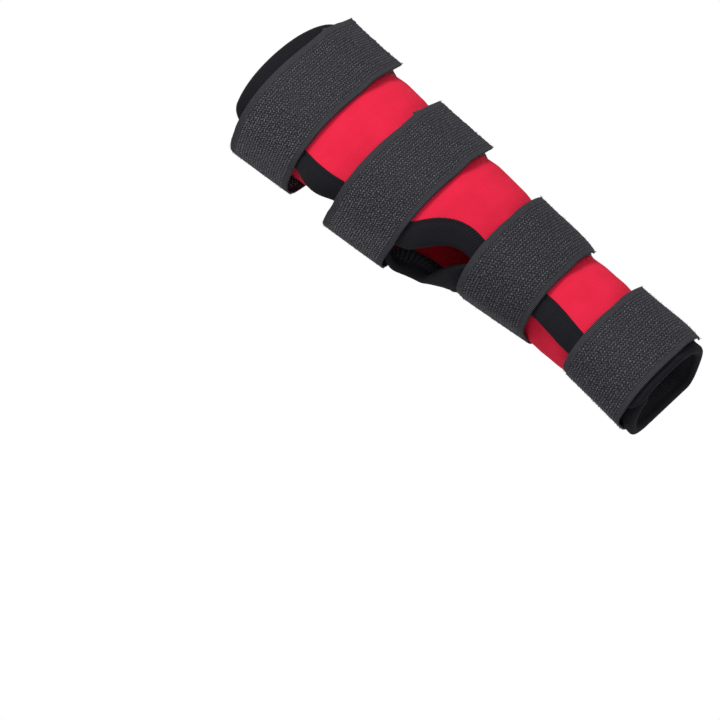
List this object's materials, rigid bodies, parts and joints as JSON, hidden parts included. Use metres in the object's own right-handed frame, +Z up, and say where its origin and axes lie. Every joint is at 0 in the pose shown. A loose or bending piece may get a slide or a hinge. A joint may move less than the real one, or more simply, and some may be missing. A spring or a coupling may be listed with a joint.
{
  "type": "wrap guard",
  "caption": "Tapered neoprene wrap guard with a notched overlapping flap, hook straps landing on loop pads, bound edges and a reflective back strip.",
  "frame": {"origin": "middle of the bounding box's footprint, on the surface that the flat back lies on", "axes": "+X along the sleeve from the wide mouth to the narrow mouth, +Z up away from the flat back, -Y towards the seam side"},
  "size_m": [0.25, 0.0862, 0.0638],
  "materials": {
    "foam": "closed-cell foam",
    "red_fabric": "red knitted nylon",
    "binding_tape": "black ribbed tape",
    "reflective_film": "silver-grey reflective fabric",
    "white_thread": "white sewing thread",
    "black_thread": "black sewing thread",
    "hook_field": "black nylon hooks",
    "loop_pile": "black napped loops",
    "strap_tape": "black woven tape"
  },
  "bodies": {
    "under": {"loop_pad_1_tail": "loop_pile", "loop_pad_2_tail": "loop_pile", "loop_pad_3_tail": "loop_pile", "loop_pad_4_tail": "loop_pile", "reflective_strip": "reflective_film", "strap_1_base": "strap_tape", "strap_1_stitching": "black_thread", "strap_2_base": "strap_tape", "strap_2_stitching": "black_thread", "strap_3_base": "strap_tape", "strap_3_stitching": "black_thread", "strap_4_base": "strap_tape", "strap_4_stitching": "black_thread", "strip_stitching": "white_thread", "under_lip_binding": "binding_tape", "under_narrow_mouth_binding": "binding_tape", "under_panel_core": "foam", "under_panel_face": "red_fabric", "under_panel_lining": "red_fabric", "under_wide_mouth_binding": "binding_tape"},
    "flap": {"flap_lip_binding": "binding_tape", "flap_narrow_mouth_binding": "binding_tape", "flap_panel_core": "foam", "flap_panel_face": "red_fabric", "flap_panel_lining": "red_fabric", "flap_wide_mouth_binding": "binding_tape", "loop_pad_1": "loop_pile", "loop_pad_2": "loop_pile", "loop_pad_3": "loop_pile", "loop_pad_4": "loop_pile"},
    "strap_1": {"strap_1_length": "strap_tape"},
    "strap_1_free_tip": {"strap_1_tip": "strap_tape", "strap_1_hooks": "hook_field"},
    "strap_2": {"strap_2_length": "strap_tape"},
    "strap_2_free_tip": {"strap_2_tip": "strap_tape", "strap_2_hooks": "hook_field"},
    "strap_3": {"strap_3_length": "strap_tape"},
    "strap_3_free_tip": {"strap_3_tip": "strap_tape", "strap_3_hooks": "hook_field"},
    "strap_4": {"strap_4_length": "strap_tape"},
    "strap_4_free_tip": {"strap_4_tip": "strap_tape", "strap_4_hooks": "hook_field"}
  },
  "joints": [
    {"name": "flap_open", "type": "hinge", "parent": "under", "child": "flap", "pos_m": [0, 0.03448, 0.01548], "axis": [-0.998, 0.0575, 0.0246], "range_deg": [0, 65]},
    {"name": "strap_1_swing", "type": "hinge", "parent": "under", "child": "strap_1", "pos_m": [-0.10304, -0.03146, 0.00349], "axis": [0.9988, 0.0475, -0.0154], "range_deg": [0, 104]},
    {"name": "strap_1_peel", "type": "hinge", "parent": "strap_1", "child": "strap_1_free_tip", "pos_m": [-0.0975, -0.01058, 0.05977], "axis": [0.9931, 0.0242, -0.1148], "range_deg": [0, 60]},
    {"name": "strap_2_swing", "type": "hinge", "parent": "under", "child": "strap_2", "pos_m": [-0.038, -0.02831, 0.00269], "axis": [0.9988, 0.0487, -0.0081], "range_deg": [0, 104]},
    {"name": "strap_2_peel", "type": "hinge", "parent": "strap_2", "child": "strap_2_free_tip", "pos_m": [-0.03252, -0.00894, 0.05388], "axis": [0.9976, 0.027, -0.0645], "range_deg": [0, 60]},
    {"name": "strap_3_swing", "type": "hinge", "parent": "under", "child": "strap_3", "pos_m": [0.03699, -0.02128, 0.00141], "axis": [0.9963, 0.0841, -0.017], "range_deg": [0, 104]},
    {"name": "strap_3_peel", "type": "hinge", "parent": "strap_3", "child": "strap_3_free_tip", "pos_m": [0.03794, -0.00547, 0.04453], "axis": [0.9913, 0.0414, -0.1249], "range_deg": [0, 60]},
    {"name": "strap_4_swing", "type": "hinge", "parent": "under", "child": "strap_4", "pos_m": [0.10068, -0.02197, 0.0011], "axis": [0.9949, -0.1009, 0.0065], "range_deg": [0, 104]},
    {"name": "strap_4_peel", "type": "hinge", "parent": "strap_4", "child": "strap_4_free_tip", "pos_m": [0.10271, -0.00595, 0.04243], "axis": [0.9973, -0.0525, 0.0505], "range_deg": [0, 60]}
  ],
  "couplings": [
    {"joint": "strap_1_swing", "follows": "flap_open", "ratio": 1.6},
    {"joint": "strap_2_swing", "follows": "flap_open", "ratio": 1.6},
    {"joint": "strap_3_swing", "follows": "flap_open", "ratio": 1.6},
    {"joint": "strap_4_swing", "follows": "flap_open", "ratio": 1.6}
  ]
}
